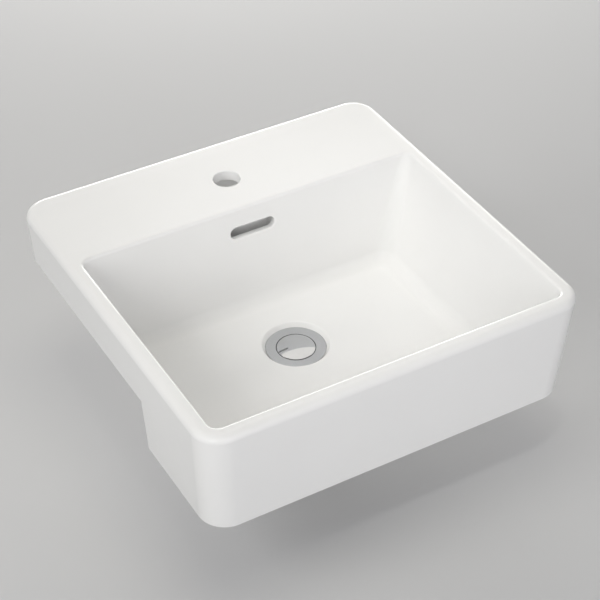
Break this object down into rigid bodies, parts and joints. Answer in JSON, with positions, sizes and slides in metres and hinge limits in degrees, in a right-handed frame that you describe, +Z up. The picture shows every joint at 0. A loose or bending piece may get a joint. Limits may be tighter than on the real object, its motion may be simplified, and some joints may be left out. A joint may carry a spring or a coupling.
{
  "type": "semi recessed basin",
  "caption": "Square glazed basin with a tap deck, overflow slot and deep front apron that stands out from the bench, with a click plug waste.",
  "frame": {"origin": "on the centre line, where the basin's back meets the bench top, at the foot of the rear rim", "axes": "+X to the right seen from the front, +Y towards the wall, +Z up"},
  "size_m": [0.46, 0.46, 0.227],
  "materials": {
    "glaze": "gloss",
    "chrome": "polished",
    "rubber": "matte",
    "white_plastic": "satin",
    "brass": "satin",
    "fibre": "matte",
    "steel": "satin"
  },
  "bodies": {
    "fixed": {"basin": "glaze", "waste_body": "chrome", "flange_seal": "rubber", "tail_gasket": "rubber", "slip_washer": "white_plastic", "backnut": "brass", "cartridge_barrel": "white_plastic", "barrel_washer": "fibre", "barrel_collar": "white_plastic", "barrel_end_cap": "white_plastic", "cartridge_spring": "steel", "guide_pin": "steel"},
    "plug": {"plug_cap": "chrome", "plug_seal": "rubber", "seal_retainer": "white_plastic", "seal_nut": "brass", "height_locknut": "brass", "plunger": "brass"}
  },
  "joints": [
    {"name": "plug_lift", "type": "slide", "parent": "fixed", "child": "plug", "axis": [0, 0, 1], "range_m": [0, 0.009], "deforming": ["cartridge_spring"]}
  ]
}
